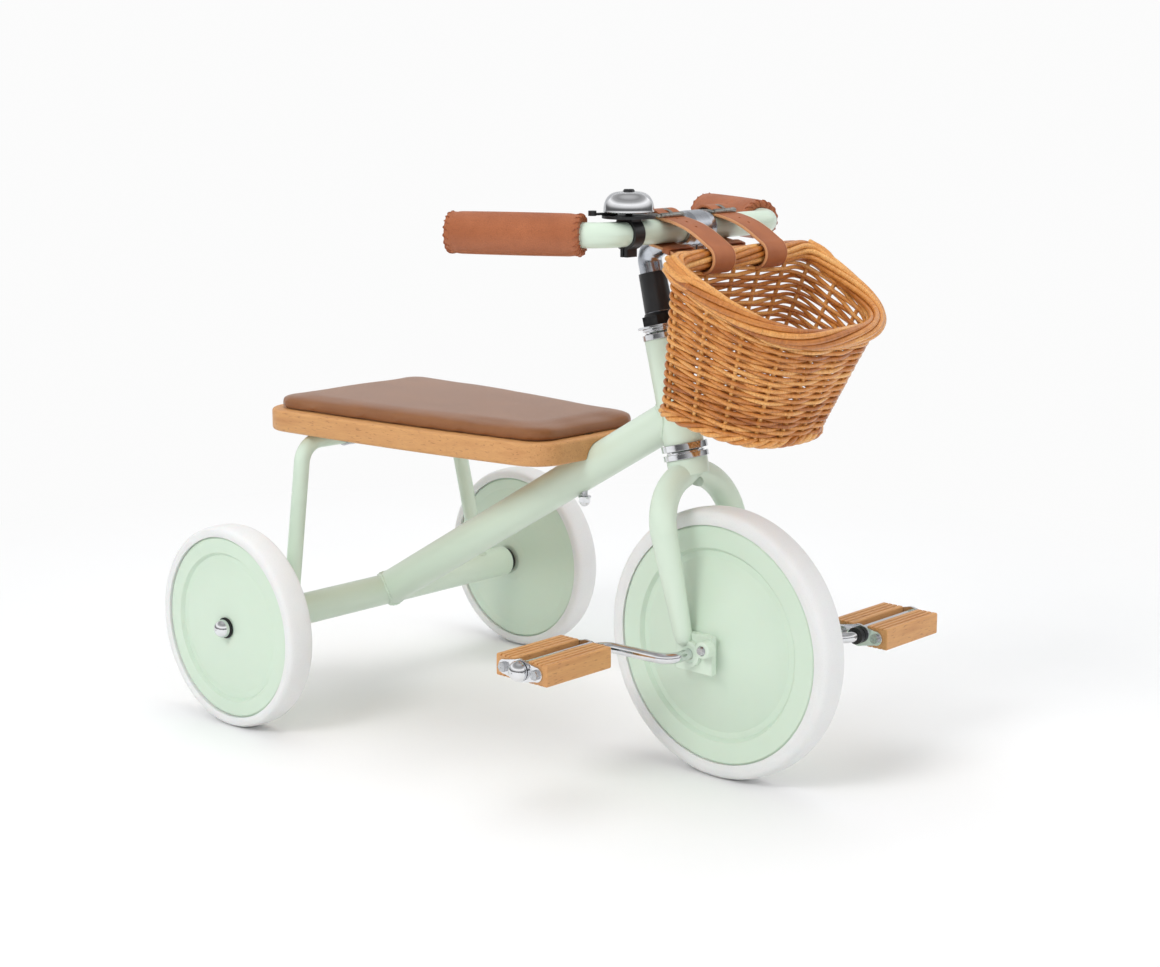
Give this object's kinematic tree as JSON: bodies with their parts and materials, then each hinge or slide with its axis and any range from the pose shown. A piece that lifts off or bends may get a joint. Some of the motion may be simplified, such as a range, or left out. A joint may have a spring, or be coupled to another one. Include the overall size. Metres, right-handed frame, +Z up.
{
  "type": "tricycle",
  "caption": "Toddler's pedal tricycle with a welded steel frame, direct-drive front wheel, padded wooden seat, swept handlebar, bell and wicker basket.",
  "frame": {"origin": "on the floor, at the bottom centre of the bounding box", "axes": "+X forward to the front wheel, +Y to the rider's left, +Z up"},
  "size_m": [0.6834, 0.4622, 0.5425],
  "materials": {
    "frame_paint": "gloss powder coat, pale mint",
    "wheel_plastic": "satin moulded plastic, pale mint",
    "tyre_rubber": "matt white rubber",
    "black_plastic": "satin black",
    "black_steel": "black oxide",
    "chrome": "bright chrome plate",
    "plain_steel": "zinc plated",
    "stem_alloy": "polished",
    "beech": "oiled beech",
    "seat_leather": "tan-brown faux leather",
    "grip_leather": "tan leather",
    "strap_leather": "tan leather",
    "wicker": "varnished willow"
  },
  "bodies": {
    "frame": {"frame": "frame_paint", "axle_tube_bushes": "black_plastic", "rear_axle": "plain_steel", "axle_washers": "black_steel", "axle_caps": "chrome", "lower_headset_cup": "chrome", "upper_headset_cup": "chrome", "lower_bearing": "plain_steel", "upper_bearing": "plain_steel", "seat_board": "beech", "seat_cushion": "seat_leather", "seat_bolt": "plain_steel", "seat_bolt_nut": "chrome", "hoop_clips": "plain_steel", "clip_screws": "plain_steel"},
    "steering": {"fork": "frame_paint", "crown_race": "chrome", "adjusting_cone": "chrome", "keyed_washer": "chrome", "locknut": "black_steel", "dropout_bushes": "black_plastic", "dropout_caps": "frame_paint", "cap_screws": "plain_steel"},
    "handlebar_set": {"stem": "stem_alloy", "stem_sleeve": "black_plastic", "expander_bolt": "plain_steel", "expander_wedge": "plain_steel", "clamp_bolt": "plain_steel", "handlebar": "frame_paint", "right_grip": "grip_leather", "left_grip": "grip_leather", "bell_base": "black_plastic", "bell_dome": "chrome", "bell_screw": "black_plastic", "bell_spring": "plain_steel", "basket": "wicker", "basket_straps": "strap_leather", "strap_buckles": "chrome"},
    "bell_lever": {"bell_lever": "black_plastic"},
    "bell_striker": {"bell_striker": "plain_steel"},
    "front_wheel": {"front_wheel_disc": "wheel_plastic", "front_tyre": "tyre_rubber", "hub_sleeve": "plain_steel", "crank": "chrome", "pedal_caps": "chrome", "pedal_collars": "black_plastic"},
    "right_pedal": {"right_pedal_blocks": "beech", "right_pedal_plates": "chrome", "right_pedal_sleeve": "chrome", "right_pedal_bolts": "plain_steel"},
    "left_pedal": {"left_pedal_blocks": "beech", "left_pedal_plates": "chrome", "left_pedal_sleeve": "chrome", "left_pedal_bolts": "plain_steel"},
    "right_rear_wheel": {"right_wheel_disc": "wheel_plastic", "right_wheel_tyre": "tyre_rubber", "right_wheel_bush": "black_plastic"},
    "left_rear_wheel": {"left_wheel_disc": "wheel_plastic", "left_wheel_tyre": "tyre_rubber", "left_wheel_bush": "black_plastic"}
  },
  "joints": [
    {"name": "steering_turn", "type": "hinge", "parent": "frame", "child": "steering", "pos_m": [0.21088, 0, 0.126], "axis": [-0.2504, 0, 0.9681], "range_deg": [-50, 50]},
    {"name": "bar_height", "type": "slide", "parent": "steering", "child": "handlebar_set", "axis": [-0.2504, 0, 0.9681], "range_m": [0, 0.025]},
    {"name": "bell_lever_swing", "type": "hinge", "parent": "handlebar_set", "child": "bell_lever", "pos_m": [0.15887, -0.09432, 0.5203], "axis": [0, 0, 1], "range_deg": [0, 24], "stiffness_Nm_per_rad": 0.02},
    {"name": "bell_striker_spin", "type": "hinge", "parent": "handlebar_set", "child": "bell_striker", "pos_m": [0.17075, -0.086, 0.5254], "axis": [0, 0, 1], "range_deg": [-72, 0]},
    {"name": "front_wheel_spin", "type": "hinge", "parent": "steering", "child": "front_wheel", "pos_m": [0.21475, 0, 0.127], "axis": [0, 1, 0], "continuous": true},
    {"name": "right_pedal_spin", "type": "hinge", "parent": "front_wheel", "child": "right_pedal", "pos_m": [0.13975, -0.147, 0.127], "axis": [0, 1, 0], "continuous": true},
    {"name": "left_pedal_spin", "type": "hinge", "parent": "front_wheel", "child": "left_pedal", "pos_m": [0.28975, 0.147, 0.127], "axis": [0, 1, 0], "continuous": true},
    {"name": "right_rear_spin", "type": "hinge", "parent": "frame", "child": "right_rear_wheel", "pos_m": [-0.24025, -0.205, 0.1015], "axis": [0, 1, 0], "continuous": true},
    {"name": "left_rear_spin", "type": "hinge", "parent": "frame", "child": "left_rear_wheel", "pos_m": [-0.24025, 0.205, 0.1015], "axis": [0, 1, 0], "continuous": true}
  ],
  "couplings": [
    {"joint": "bell_striker_spin", "follows": "bell_lever_swing", "ratio": -3}
  ]
}
